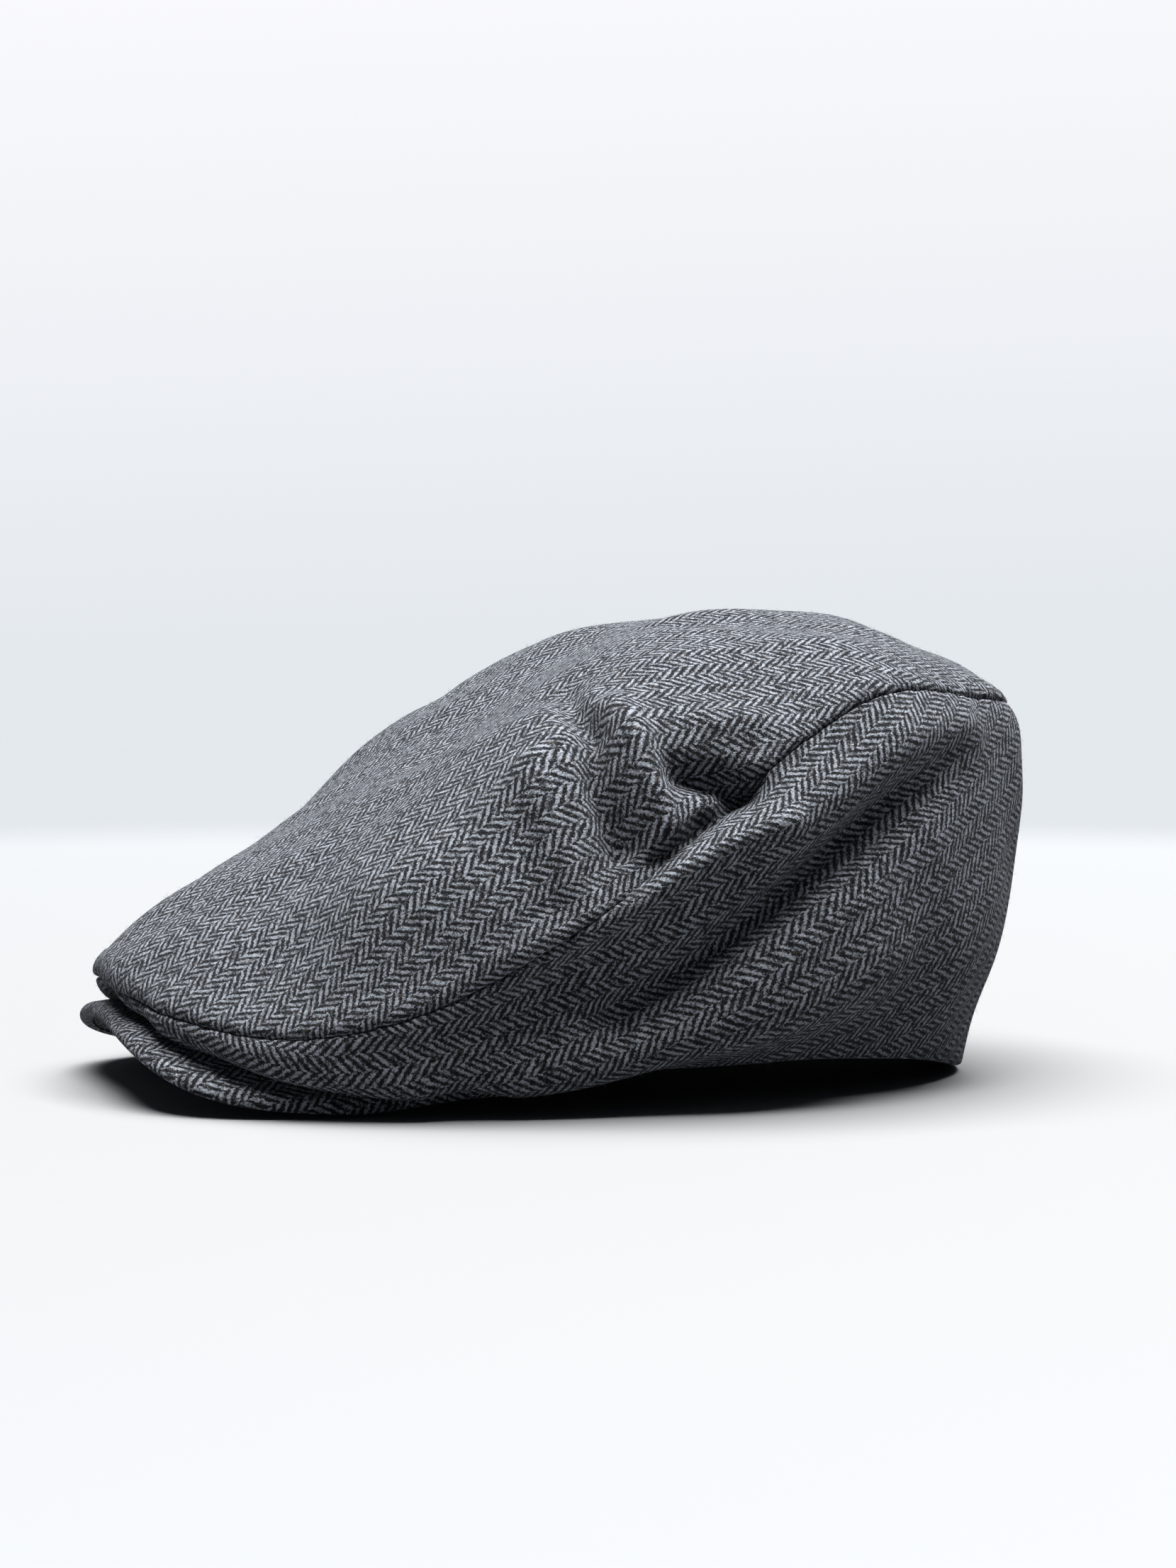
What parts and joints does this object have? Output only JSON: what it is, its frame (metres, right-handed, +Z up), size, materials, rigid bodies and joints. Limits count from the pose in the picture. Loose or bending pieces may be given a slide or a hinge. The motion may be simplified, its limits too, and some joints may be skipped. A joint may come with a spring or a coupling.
{
  "type": "flat cap",
  "caption": "Three-panel herringbone tweed flat cap with a stiffened, snap-down brim, satin lining and a ribbon sweatband, standing on its brim and back hem.",
  "frame": {"origin": "middle of the cap's outline, on the surface that it stands on", "axes": "+Z up, -Y towards the front of the brim, +X towards the wearer's left"},
  "size_m": [0.2076, 0.2675, 0.1321],
  "materials": {
    "wool_tweed": "brushed herringbone wool tweed, pale grey and blue-black yarns",
    "interlining": "plain woven cotton interlining",
    "satin_lining": "black satin lining",
    "grosgrain": "ribbed black cotton ribbon",
    "stay_tape": "plain cotton stay tape",
    "woven_label": "blank woven satin label",
    "brim_board": "moulded sheet plastic",
    "snap_metal": "plated press snap"
  },
  "bodies": {
    "crown": {"top_panel": "wool_tweed", "left_side_panel": "wool_tweed", "right_side_panel": "wool_tweed", "top_interlining": "interlining", "left_interlining": "interlining", "right_interlining": "interlining", "top_lining": "satin_lining", "left_lining": "satin_lining", "right_lining": "satin_lining", "left_seam_tape": "grosgrain", "right_seam_tape": "grosgrain", "back_seam_tape": "grosgrain", "hem_stay_tape": "stay_tape", "sweatband": "grosgrain", "care_label": "woven_label", "snap_socket": "snap_metal"},
    "brim": {"brim_top_cover": "wool_tweed", "brim_board": "brim_board", "brim_under_cover": "wool_tweed", "snap_ball": "snap_metal"}
  },
  "joints": [
    {"name": "brim_hinge", "type": "hinge", "parent": "crown", "child": "brim", "pos_m": [0, -0.042, 0.012], "axis": [1, 0, 0], "range_deg": [0, 12]}
  ]
}
